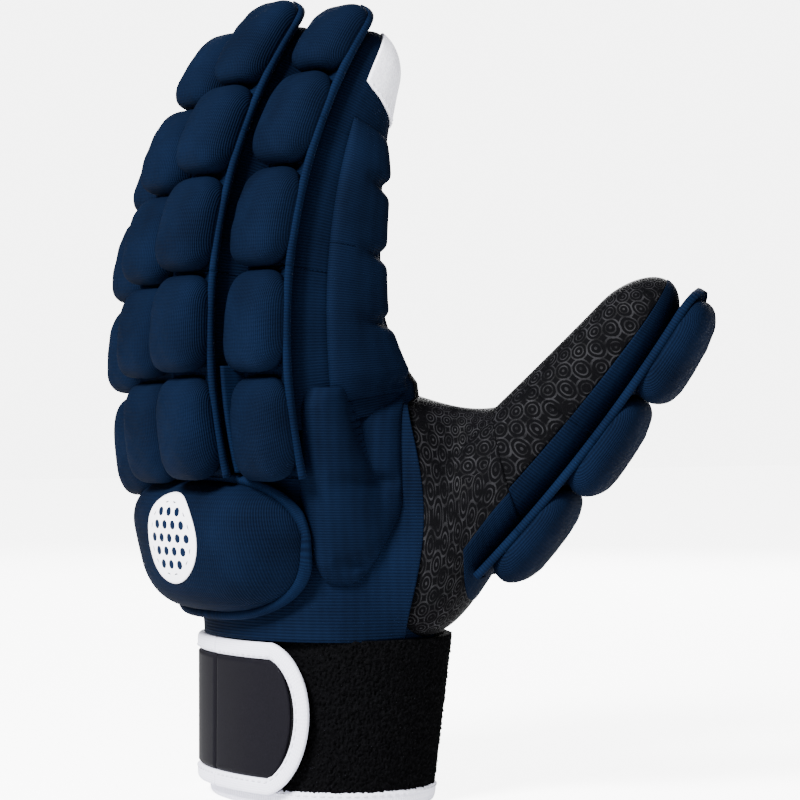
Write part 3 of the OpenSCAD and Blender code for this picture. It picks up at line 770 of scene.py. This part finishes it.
def side_level(w, z):
    """The smooth larger of the hand's side and the thumb's root."""
    hand, root = hand_side_level(w, z), root_level(w, z)
    high, low = np.maximum(hand, root), np.minimum(hand, root)
    return high + 1.6 * np.log1p(np.exp(-(high - low) / 1.6))


def seam_bow(z):
    """The seam between knit and suede bows out from the palm at the middle of the hand."""
    return -5 + 8 * np.sin(np.clip((z - cuff_top) / (finger_root - 5 - cuff_top), 0, 1) * math.pi)


side_w = np.linspace(0, 1, 80)[None, :]
side_top = finger_root - 1 - 9 * np.clip((side_w - 0.4) / 0.6, 0, 1)
side_z = cuff_top + 0.5 + (side_top - cuff_top - 0.5) * np.linspace(0, 1, 80)[:, None]
side_out = 2 + (seam_at + seam_bow(side_z) - 2) * side_w
side_sink = 0.5 - 3.0 * round_step((side_z - finger_root + 12) / 12)
side_points = in_plane(side_out, side_z, side_level(np.minimum(side_out, seam_at + 3), side_z) + side_sink)
side_panel = surface("hand_side_cover", side_points, paired(side_out, side_z))
thicken(side_panel, 1.4)
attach(finished(side_panel, sleeve_knit), "hand")

guard_foot = 68
guard_v = np.linspace(0, 1, 90)[:, None]
guard_a = np.linspace(0, 1, 60)[None, :]
guard_z = guard_foot + (finger_root + scallop_start - scallop_pitch + 4 - guard_foot) * guard_v
guard_half = 3 + 11.5 * np.clip(guard_v / 0.42, 0, 1) ** 0.55 - 1.0 * guard_v
guard_mid = 17 + 4.5 * np.clip(guard_v / 0.35, 0, 1) - 2.0 * guard_v
guard_w = guard_mid + guard_half * (2 * guard_a - 1)
guard_press = 1 - 0.7 * scallop(guard_z - finger_root) * np.clip((guard_a - 0.35) / 0.4, 0, 1)
guard_ends = np.clip(guard_v / 0.10, 0, 1) ** 0.5 * np.clip((1.01 - guard_v) / 0.12, 0, 1) ** 0.5
guard_rise = 0.6 + 4.6 * pillow(guard_a) * guard_press * guard_ends
guard_outer = in_plane(guard_w, guard_z, side_level(guard_w, guard_z) + 0.5 + guard_rise)
guard_inner = in_plane(guard_w, guard_z, side_level(guard_w, guard_z) + 0.6)
guard_uv = paired(guard_z, guard_w)
hand_guard = two_faced("hand_side_guard_cover", guard_outer, guard_inner, guard_uv)
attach(hand_guard, "hand")
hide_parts("hand_side_guard")
finished(hand_guard, guard_knit)

# ---- Thumb ----
# The thumb grows out of the palm in the same suede, with a knit back that carries three
# foam blocks. Its root is one swelling panel, which stays fixed and does not bend.


def bezier(t, points):
    """A cubic curve through the first and last of four points, drawn to the two between."""
    a, b, c, d = [np.array(p, float) for p in points]
    t = t[..., None]
    return (1 - t) ** 3 * a + 3 * (1 - t) ** 2 * t * b + 3 * (1 - t) * t * t * c + t**3 * d


def plane_of(point):
    """A point's place out from the hand and its height."""
    return float(point @ plane_out), float(point[2])


root_back = plane_of(place(thumb, 20, 0, 0.2))
root_top = plane_of(place(thumb, 41, 0, 2 * half_depth(thumb, 41)))


def thumb_root_point(t, angle, out):
    """Rings that fan from the upright seam to the thumb: the foot runs along the heel and
    the top along the web, both as cubic curves; each ring is a squared ellipse between them."""
    t, angle = np.broadcast_arrays(t, angle)
    fan = np.clip(t, 0, 1)
    foot = bezier(fan, [(seam_at, cuff_top + 0.6), (50, 50), (50, 66), root_back])
    top = bezier(fan, [(seam_at, finger_root - 7), (45, 121), (52, 119), root_top])
    c, w = oval(2.5, angle)
    v = 0.5 + (0.5 + out / 60) * c
    thin = 1 - 0.45 * np.sin(np.clip(fan, 0, 1) * math.pi) * round_step((v - 0.45) / 0.5)
    half = (19 + (half_width(thumb, 30) + 0.4 - 19) * round_step(fan) + out) * thin * (1 + 0.35 * np.minimum(t, 0))
    where = foot + (top - foot) * v[..., None]
    bow = (1 - fan) * seam_bow(where[..., 1]) + 34 * np.minimum(t, 0)
    return in_plane(where[..., 0] + bow, where[..., 1], plane_middle + half * w)


root_t = np.linspace(-0.6, 1, 90)[:, None]
root_angle = np.linspace(0, 2 * math.pi, 121)[:-1][None, :]
root_uv = paired(root_t * 40, np.abs(root_angle - math.pi) * 24)
thumb_root = surface("thumb_root_panel", thumb_root_point(root_t, root_angle, 0.0), root_uv, wrap=True)
thicken(thumb_root, 1.4)
bend_at(thumb_root)
finished(thumb_root, palm_suede)
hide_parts("thumb_sleeve_1")

strip_t = np.linspace(0.55, 1.0, 30)[:, None]
strip_angle = np.linspace(math.radians(180 - 68), math.radians(180 + 68), 60)[None, :]
root_strip = surface(
    "thumb_root_side_strip", thumb_root_point(strip_t, strip_angle, 0.4),
    paired(strip_t * 60, strip_angle * 22),
)
thicken(root_strip, 0.8)
bend_at(root_strip)
finished(root_strip, sleeve_knit)

thumb_seam = math.radians(70)
thumb_start, thumb_fold = 14, joint_at(thumb, 1) + 17
for k, low, high in ((1, thumb_start, thumb_fold), (2, thumb_fold, thumb["reach"])):
    tip = k == 2
    back = sleeve_sheet(f"thumb_back_cover_{k + 1}", thumb, low, high, -thumb_seam, thumb_seam, 0.3, tip)
    grip = sleeve_sheet(f"thumb_grip_cover_{k + 1}", thumb, low, high, thumb_seam, 2 * math.pi - thumb_seam, 0.0, tip)
    for piece in (back, grip):
        thicken(piece, skin_wall)
        bend_at(piece)
    finished(back, sleeve_knit)
    finished(grip, palm_suede)
    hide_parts(f"thumb_sleeve_{k + 1}")

thumb_strip_cuts = [0, 18.5, thumb_fold, thumb["reach"] + strip_overhang]
for k in range(3):
    add_strip(thumb, k, thumb_strip_cuts[k], thumb_strip_cuts[k + 1])
    low = joint_at(thumb, k) + (3 if k == 0 else 0)
    high = joint_at(thumb, k + 1) + (1 if k == 2 else 0)
    body = thumb["bodies"][k + 1]
    add_block(f"thumb_foam_block_{k + 1}", thumb, low, high, block_height - 1, body, f"thumb_pad_{k + 1}")

# ---- Back pad ----
# One large moulded foam pad across the back of the hand, with a flanged edge. It is bent
# to the arch of the knuckles. A plain printed disc lies near its middle.

pad_half_long, pad_half_across, pad_middle = 22.0, 45.35, 78.5
pad_height, pad_rim, pad_lip = 13.0, 1.6, 2.2


def hand_back_at(y, z):
    """Where the back of the hand lies at a place across it, levelled towards its edges."""
    middle_x, half_x, half_y, _ = hand_sizes(z)
    across = np.minimum(0.86, np.abs(y) / half_y)
    return middle_x - half_x + half_x * (1 - (1 - across**hand_power) ** (1 / hand_power))


def on_arch(y, z, height):
    """A place over the back of the hand, whose arch deepens with the square of the way across."""
    edge = np.abs(y) / pad_half_across
    y, z, height = np.broadcast_arrays(y, z, height)
    return np.stack([hand_back_at(y, z) - 3.2 - 3.5 * edge * edge - height, y + 4, z], -1)


def pad_rise(v, z):
    """The pad's height, v from 0 at the edge to 1 at the middle, less up to half a
    millimetre towards the fingers."""
    swell = pad_rim + (pad_height - pad_rim) * (1 - (1 - np.clip(v * 1.25, 0, 1)) ** 3.2) ** 0.62
    return swell - 0.5 * np.clip((z - pad_middle) / pad_half_long, 0, 1)


def pad_outline(around, inset):
    """A squared ellipse, narrower towards the wrist."""
    ox, oy = oval(3.4, around)
    z = (pad_half_long - inset) * ox
    narrow = 0.8 + 0.2 * np.clip((z + pad_half_long) / pad_half_long / 1.2, 0, 1)
    y = (pad_half_across - inset) * oy * narrow
    return np.where(y < 0, 0.91 * y, y), pad_middle + z


pad_around = np.linspace(0, 2 * math.pi, 241)[:-1][None, :]
pad_v = np.concatenate([[0, 0], np.linspace(0, 1, 70) ** 1.5])[:, None]
pad_inset = pad_lip + (pad_half_long - pad_lip) * pad_v
pad_y, pad_z = pad_outline(pad_around, pad_inset)
pad_y = pad_y * np.clip(2 * (1 - pad_v), 0, 1)
pad_h = pad_rise(pad_v, pad_z)
pad_h[0], pad_h[1] = 0.2, 0.9
pad_points = on_arch(pad_y, pad_z, pad_h)
pad_floor = np.broadcast_to(on_arch(np.zeros((1, 1)), pad_middle, 0.2), (1, *pad_points.shape[1:]))
pad_over = np.sign(pad_y) * (np.abs(pad_y) / pad_half_across) ** 3 * (pad_height - pad_h)
pad_uv = np.stack([pad_y + 1.5 * pad_over, pad_z], -1)
pad_points, pad_uv = np.concatenate([pad_floor, pad_points]), np.concatenate([pad_uv[:1], pad_uv])
back_pad = surface("back_pad_cover", pad_points, pad_uv, closed=True, wrap=True)
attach(back_pad, "hand")
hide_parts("back_pad")
finished(back_pad, block_knit)

flange_turn = np.linspace(0, 2 * math.pi, 17)[:-1][:, None]
flange_y, flange_z = pad_outline(pad_around, 1.0 - 1.4 * np.cos(flange_turn))
flange_points = on_arch(flange_y, flange_z, 1.0 + 1.3 * np.sin(flange_turn))
flange_points = np.concatenate([flange_points, flange_points[:1]])
flange_uv = paired(flange_turn * 2, pad_around * 33)
flange_uv = np.concatenate([flange_uv, flange_uv[:1]])
back_flange = surface("back_pad_flange", flange_points, flange_uv, closed=True, wrap=True)
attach(finished(back_flange, strip_knit), "hand")

disc_print, disc_tree, disc_shader = finish_with("disc_print", (0.9, 0.9, 0.95), 0.6, 0.0)
disc_uv = on_piece(disc_tree, "UV")
hole_cells = (1 / (4.6 * MM), 1 / (7.97 * MM), 1)
disc_dots = []
for shift in (0.0, 0.5):
    away = from_cell_middle(disc_tree, disc_uv, hole_cells, (shift, shift, 0), (1, 1.732, 0))
    disc_dots.append(math_node(disc_tree, "LESS_THAN", away, 0.30))
disc_away = vector_node(disc_tree, "LENGTH", v0=disc_uv).outputs["Value"]
disc_inner = math_node(disc_tree, "LESS_THAN", disc_away, 11.2 * MM)
disc_mask = math_node(disc_tree, "MULTIPLY", math_node(disc_tree, "MAXIMUM", *disc_dots), disc_inner)
tint(disc_tree, disc_shader, disc_mask, (0.86, 0.86, 0.93), (0.0012, 0.005, 0.018))
emboss(disc_tree, disc_shader, speckle(disc_tree, disc_uv, 1400.0, 2.0), 0.06)

disc_radius, disc_middle = 13.8, 81
disc_r = np.linspace(0, 1, 24)[:, None]
disc_around = np.linspace(0, 2 * math.pi, 97)[:-1][None, :]
disc_y, disc_z = disc_radius * disc_r * np.cos(disc_around), disc_radius * disc_r * np.sin(disc_around)
disc_at = disc_z + disc_middle
disc_v = (pad_half_long - np.abs(disc_at - pad_middle) - pad_lip) / (pad_half_long - pad_lip)
disc_points = on_arch(disc_y - 1, disc_at, pad_rise(disc_v, disc_at) + 0.35)
disc = surface("back_pad_disc", disc_points, np.stack([disc_y, disc_z], -1), wrap=True)
if disc.data.polygons[0].normal.x > 0:
    disc.data.flip_normals()
thicken(disc, 0.3)
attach(finished(disc, disc_print), "hand")

# ---- Cuff ----
# A stretch cuff of black loop pile, hemmed below with folded white tape. It stretches over
# the wearer's hand and is drawn in by the strap.

pile, pile_tree, pile_shader = finish_with("pile", (0.02, 0.02, 0.02), 0.95, 0.012)
pile_where = on_piece(pile_tree, "Object")
pile_loops, pile_fuzz = pebbles(pile_tree, pile_where, 900.0), speckle(pile_tree, pile_where, 1500.0, 5.0)
pile_height = math_node(pile_tree, "MULTIPLY", pile_loops, pile_fuzz)
# The colour follows the pile's height: painted shade between the loops, with random tone from the fuzz noise.
tint(pile_tree, pile_shader, pile_height, (0.0004, 0.0004, 0.0005), (0.0038, 0.0038, 0.0046))
emboss(pile_tree, pile_shader, pile_height, 0.9)


def cuff_point(angle, z, out):
    """A squared ellipse round the wrist that grows and leans to the palm with height."""
    grow = 3 * np.clip(z / cuff_top, 0, 1)
    c, w = oval(2.2, angle)
    x = 3.5 * np.clip(z / cuff_top, 0, 1) + (30 + grow + out) * c
    x, y, z = np.broadcast_arrays(x, (39 + grow + out) * w, z)
    return np.stack([x, y, z], -1)


cuff_around = np.linspace(0, 2 * math.pi, 721)[:-1][None, :]
cuff_level = np.linspace(5.2, cuff_top + 0.8, 130)[:, None]
loops = np.random.default_rng(7).normal(0, 1, (130, 720))
loops = (loops + np.roll(loops, 1, 1) + np.roll(loops, 1, 0) + np.roll(loops, (1, 1), (0, 1))) / 4
cuff_out = cuff_point(cuff_around, cuff_level, 0.1 + 0.42 * loops)
cuff_in = cuff_point(cuff_around, cuff_level[::-4], -2.4)
cuff_points = np.concatenate([cuff_out, cuff_in, cuff_out[:1]])
cuff_levels = np.concatenate([cuff_level, cuff_level[::-4], cuff_level[:1]])
cuff_uv = paired(cuff_around * 36, cuff_levels)
cuff = surface("cuff_pile", cuff_points, cuff_uv, closed=True, wrap=True)
settle(cuff, pile, "pile_cuff", "hand", "wrist_cuff")

tape, tape_tree, tape_shader = finish_with("white_tape", (0.9, 0.9, 1.0), 0.5, 0.15)
tape_uv = add_node(tape_tree, "ShaderNodeSeparateXYZ", {0: on_piece(tape_tree, "UV")}).outputs
tape_ribs = math_node(tape_tree, "MULTIPLY", waves(tape_tree, tape_uv[0], 0.9), waves(tape_tree, tape_uv[1], 0.7))
# The tape's colour follows its ribs: painted shade between the ribs, lighter on their tops.
tint(tape_tree, tape_shader, tape_ribs, (0.66, 0.66, 0.78), (0.84, 0.84, 0.93))
emboss(tape_tree, tape_shader, tape_ribs, 0.06)

hem_turn = np.linspace(0, 2 * math.pi, 29)[:, None]
hem_c, hem_w = oval(3.0, hem_turn)
hem_points = cuff_point(cuff_around, 2.9 + 2.9 * hem_w, -1.1 + 1.9 * hem_c)
hem_uv = paired(cuff_around * 36, hem_turn * 2.5)
hem = surface("cuff_hem_tape", hem_points, hem_uv, closed=True, wrap=True)
settle(hem, tape, "white_binding", "hand", "cuff_hem")

# ---- Strap ----
# A webbing strap, sewn to the cuff on the little finger's side, that wraps the back of the
# wrist and ends in a half-round tab with hook fastener beneath. White tape binds its edge
# and a soft rubber badge is welded to its face.

strap_low, strap_high = 4.6, 49.6
strap_middle, strap_half = (strap_low + strap_high) / 2, (strap_high - strap_low) / 2
strap_seat, strap_face = 0.8, 3.4
band_from, tab_from, tab_to, sewn_from = 100, 172, 222, 78
binding_width, binding_lift, badge_thick = 5.0, 1.25, 0.95
degrees_per_mm = 1.42

webbing = knit("webbing", (0.001, 0.001, 0.001), (0.006, 0.006, 0.0065), 1.4, 0.7, 0.5, 0.12)
badge, badge_tree, badge_shader = finish_with("badge_rubber", (0.03, 0.03, 0.03), 0.55, 0.0)
badge_grain = speckle(badge_tree, on_piece(badge_tree, "Object"), 1800.0, 3.0)
tint(badge_tree, badge_shader, badge_grain, (0.0028, 0.0026, 0.0038), (0.0058, 0.0055, 0.0075))
emboss(badge_tree, badge_shader, badge_grain, 0.05)


def strap_point(angle, z, out):
    """A place above the cuff, angle in degrees round it."""
    return cuff_point(np.radians(angle), z, out)


def end_back(v):
    """How far the half-round end stands back, in degrees, v from -1 to 1 across the strap."""
    return 24 * (1 - np.sqrt(np.clip(1 - 0.96 * v * v, 0, 1)))


def strap_slab(name, first, last, low_out, high_out, inset, round_end=False, edge=0.8):
    """A slab of the strap: its faces are grids over the angle and the height, closed round the
    edge; the outer face drops towards every edge by a quarter circle."""
    i, v = np.linspace(0, 1, 70)[:, None], np.linspace(-1, 1, 44)[None, :]
    end = last - (end_back(v * (1 - inset / strap_half)) if round_end else 0 * v)
    angle, z = first + (end - first) * i, strap_middle + (strap_half - inset) * v
    rim = np.minimum((strap_half - inset) * (1 - np.abs(v)), np.minimum(i, 1 - i) * (last - first) * 0.6)
    fall = edge * (1 - np.sqrt(np.clip(1 - (1 - np.clip(rim / edge, 0, 1)) ** 2, 0, 1)))
    outer = strap_point(angle, z, high_out - np.minimum(fall, high_out - low_out))
    inner = strap_point(angle, z, low_out + 0 * angle)
    return two_faced(name, outer, inner, paired(angle * 0.65, z))


def strap_binding(name, path_angle, path_v, inward_angle, seat=strap_seat):
    """Folded tape carried along the strap's edge: a flattened ring that covers both faces."""
    turn = np.linspace(0, 2 * math.pi, 25)[None, :-1]
    c, w = oval(3.0, turn)
    inset = binding_width / 2 * (1 - c) - 0.3
    top = strap_face + binding_lift
    level = (seat + top) / 2 + (top - seat) / 2 * w
    v = path_v * (1 - inset / strap_half)
    angle = path_angle - inward_angle * inset * degrees_per_mm
    points = strap_point(angle, strap_middle + strap_half * v, level)
    run = np.linspace(0, 1, len(points))[:, None] * 130
    return capped(name, points, paired(run, inset))


anchor = strap_slab("strap_sewn_end", sewn_from, band_from - 1, strap_seat, strap_face, 0)
settle(anchor, webbing, "strap_webbing", "hand", "strap_anchor")

band = strap_slab("strap_band_web", band_from, tab_from - 1, strap_seat, strap_face, 1.2)
settle(band, webbing, "strap_webbing", "strap_band", "strap_band")
badge_top, badge_inset = strap_face + badge_thick, binding_width - 0.2
band_badge = strap_slab("strap_band_badge_cover", band_from + 20, tab_from - 1, strap_face, badge_top, badge_inset)
settle(band_badge, badge, "rubber_badge", "strap_band", "strap_band_badge")
for side, label in ((-1, "lower"), (1, "upper")):
    run = np.linspace(0, 1, 60)[:, None]
    band_angle = band_from + (tab_from - 1 - band_from) * run
    edge = strap_binding(f"strap_band_{label}_tape", band_angle, side + 0 * run, 0 * run)
    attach(finished(edge, tape), "strap_band")
    if side < 0:
        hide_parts("strap_band_binding")

tab = strap_slab("strap_tab_web", tab_from, tab_to - 1, strap_seat + 1.2, strap_face, 1.2, round_end=True)
settle(tab, webbing, "strap_webbing", "strap_tab", "strap_tab")
tab_badge = strap_slab("strap_tab_badge_cover", tab_from, tab_to - 8, strap_face, badge_top, badge_inset, True)
settle(tab_badge, badge, "rubber_badge", "strap_tab", "strap_tab_badge")

rim_run = np.linspace(0, 1, 160)[:, None]
rim_swing = np.clip((rim_run - 0.3) / 0.4, 0, 1) * math.pi
rim_v = -np.cos(rim_swing)
rim_straight = np.where(rim_run < 0.3, rim_run / 0.3, np.where(rim_run > 0.7, (1 - rim_run) / 0.3, 1))
rim_angle = tab_from + (tab_to - end_back(rim_v) - tab_from) * rim_straight
rim = strap_binding("strap_tab_tape", rim_angle, rim_v, np.sin(rim_swing), seat=strap_seat + 1.1)
settle(rim, tape, "white_binding", "strap_tab", "strap_tab_binding")

# The webbing runs on through both folds, so a thinner strip of it lies over each one; it stays fixed and does not
# bend.
for name, fold_at, a, b in (
    ("strap_band_fold", band_from, "hand", "strap_band"),
    ("strap_tab_fold", tab_from, "strap_band", "strap_tab"),
):
    fold = strap_slab(name, fold_at - 3, fold_at + 2.4, strap_seat + 1.3, strap_face - 0.5, 1.4, edge=0.3)
    finished(fold, webbing)
    fold_start = strap_point(fold_at - 2.0, strap_middle, strap_face)
    fold_end = strap_point(fold_at + 1.4, strap_middle, strap_face)
    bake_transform(fold)

hook = strap_slab("strap_hook_patch", tab_from + 6, tab_to - 7, strap_seat, strap_seat + 1.0, 4.5, True, edge=0.2)
settle(hook, pile, "pile_cuff", "strap_tab", "strap_hook")

# ---- Stitching ----
# White thread holds the tape to the strap and the hem, and the tip patch along its foot.
# Each stitch is a short piece of its own.

thread, thread_tree, thread_shader = finish_with("white_thread", (0.9, 0.9, 0.95), 0.6, 0.1)
thread_twist = speckle(thread_tree, on_piece(thread_tree, "Object"), 3000.0, 2.0)
tint(thread_tree, thread_shader, thread_twist, (0.45, 0.45, 0.52), (0.75, 0.75, 0.82))


def stitches(name, path, pitch=2.6, length=1.7, radius=0.26):
    """Short rounded threads laid end to end along a path: the path is measured, a thread is
    put at each pitch, and each is a small spindle turned along the path."""
    steps = np.linalg.norm(np.diff(path, axis=0), axis=1)
    run = np.concatenate([[0], np.cumsum(steps)])
    at = np.arange(pitch, run[-1] - pitch / 2, pitch)
    centre = np.stack([np.interp(at, run, path[:, i]) for i in range(3)], -1)
    ahead = np.stack([np.interp(at + 0.5, run, path[:, i]) for i in range(3)], -1) - centre
    ahead /= np.linalg.norm(ahead, axis=1)[:, None]
    side = np.cross(ahead, np.array([0.31, 0.52, 0.79]))
    side /= np.linalg.norm(side, axis=1)[:, None]
    other = np.cross(ahead, side)
    along, turn = np.linspace(-1, 1, 5), np.linspace(0, 2 * math.pi, 7)[:-1]
    thick = radius * np.sqrt(np.clip(1.02 - along**2, 0, 1))
    offset = (
        ahead[:, None, None] * (along * length / 2)[None, :, None, None]
        + side[:, None, None] * (thick[:, None] * np.cos(turn))[None, ..., None]
        + other[:, None, None] * (thick[:, None] * np.sin(turn))[None, ..., None]
    )
    points = (centre[:, None, None] + offset).reshape(-1, 3)
    one = np.arange(30).reshape(5, 6)
    wrapped = np.concatenate([one, one[:, :1]], 1)
    quads = np.stack([wrapped[:-1, :-1], wrapped[:-1, 1:], wrapped[1:, 1:], wrapped[1:, :-1]], -1).reshape(-1, 4)
    quads = (np.arange(len(at))[:, None, None] * 30 + quads).reshape(-1, 4)
    caps = np.arange(len(at))[:, None] * 30
    ends = np.concatenate([caps + one[0][::-1], caps + one[-1]])
    mesh = bpy.data.meshes.new(name)
    mesh.from_pydata((points * MM).tolist(), [], quads.tolist() + ends.tolist())
    shape = bmesh.new()
    shape.from_mesh(mesh)
    bmesh.ops.recalc_face_normals(shape, faces=shape.faces)
    shape.to_mesh(mesh)
    shape.free()
    mesh.shade_smooth()
    piece = bpy.data.objects.new(name, mesh)
    bpy.context.scene.collection.objects.link(piece)
    return finished(piece, thread)


stitch_inset, stitch_level = binding_width - 1.3, strap_face + 1.22
rim_turn = rim_angle - np.sin(rim_swing) * stitch_inset * degrees_per_mm
rim_height = strap_middle + strap_half * rim_v * (1 - stitch_inset / strap_half)
rim_path = strap_point(rim_turn, rim_height, stitch_level)[:, 0]
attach(stitches("strap_tab_stitches", rim_path), "strap_tab")
for side, label in ((-1, "lower"), (1, "upper")):
    run = np.linspace(band_from, tab_from - 1, 60)
    line = strap_point(run, strap_middle + side * (strap_half - stitch_inset), stitch_level)
    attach(stitches(f"strap_band_{label}_stitches", line), "strap_band")
hem_line = cuff_point(np.linspace(0, 2 * math.pi, 300), 4.6, 0.82)
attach(stitches("hem_stitches", hem_line), "hand")
line_across = np.linspace(-0.97, 0.97, 90)
line_foot = patch_low + 0.9 + patch_arch * line_across**2
patch_line = sleeve_point(index, line_foot, math.pi + patch_spread * line_across, patch_out + 0.05)
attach(stitches("index_tip_patch_stitches", patch_line, pitch=2.1, length=1.3, radius=0.2), "index_distal")
